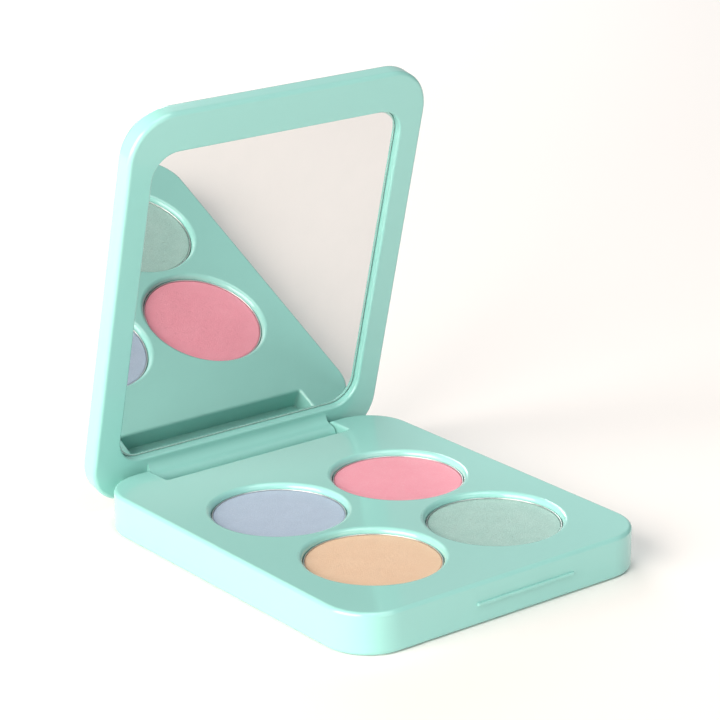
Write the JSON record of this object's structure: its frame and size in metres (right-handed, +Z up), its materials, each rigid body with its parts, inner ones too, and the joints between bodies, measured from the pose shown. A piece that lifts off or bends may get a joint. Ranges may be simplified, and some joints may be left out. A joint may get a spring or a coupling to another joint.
{
  "type": "eyeshadow palette",
  "caption": "Flat compact with round pressed-powder pans in a rounded base, and a hinged lid with a mirror set into its frame.",
  "frame": {"origin": "centre of the case's footprint, on its underside", "axes": "+X along the hinge, +Y towards the hinge at the back, +Z up; the front with the finger catch faces -Y"},
  "size_m": [0.071, 0.0909, 0.0862],
  "materials": {
    "case": "glossy pastel mint moulding",
    "label": "blank coated paper label",
    "adhesive": "double-sided adhesive sheet",
    "pan": "bright drawn sheet metal",
    "powder_lilac": "satin pressed powder",
    "powder_pink": "matt pressed powder",
    "powder_gold": "satin pressed powder",
    "powder_green": "shimmering pressed powder",
    "magnet": "nickel plated",
    "hinge_pin": "drawn wire",
    "mirror": "silvered glass with a ground edge"
  },
  "bodies": {
    "base": {"underside_label": "label", "bottom_cover": "case", "base_shell": "case", "pan_pad_lilac": "adhesive", "pan_pad_pink": "adhesive", "pan_pad_gold": "adhesive", "pan_pad_green": "adhesive", "pan_lilac": "pan", "pan_pink": "pan", "pan_gold": "pan", "pan_green": "pan", "powder_lilac": "powder_lilac", "powder_pink": "powder_pink", "powder_gold": "powder_gold", "powder_green": "powder_green", "base_magnet": "magnet", "hinge_pins": "hinge_pin"},
    "lid": {"lid_frame": "case", "lid_back": "case", "lid_magnet": "magnet", "mirror_tape": "adhesive", "mirror": "mirror"}
  },
  "joints": [
    {"name": "lid_hinge", "type": "hinge", "parent": "base", "child": "lid", "pos_m": [0, 0.041, 0.00615], "axis": [1, 0, 0], "range_deg": [-25.6, 76.4]}
  ]
}
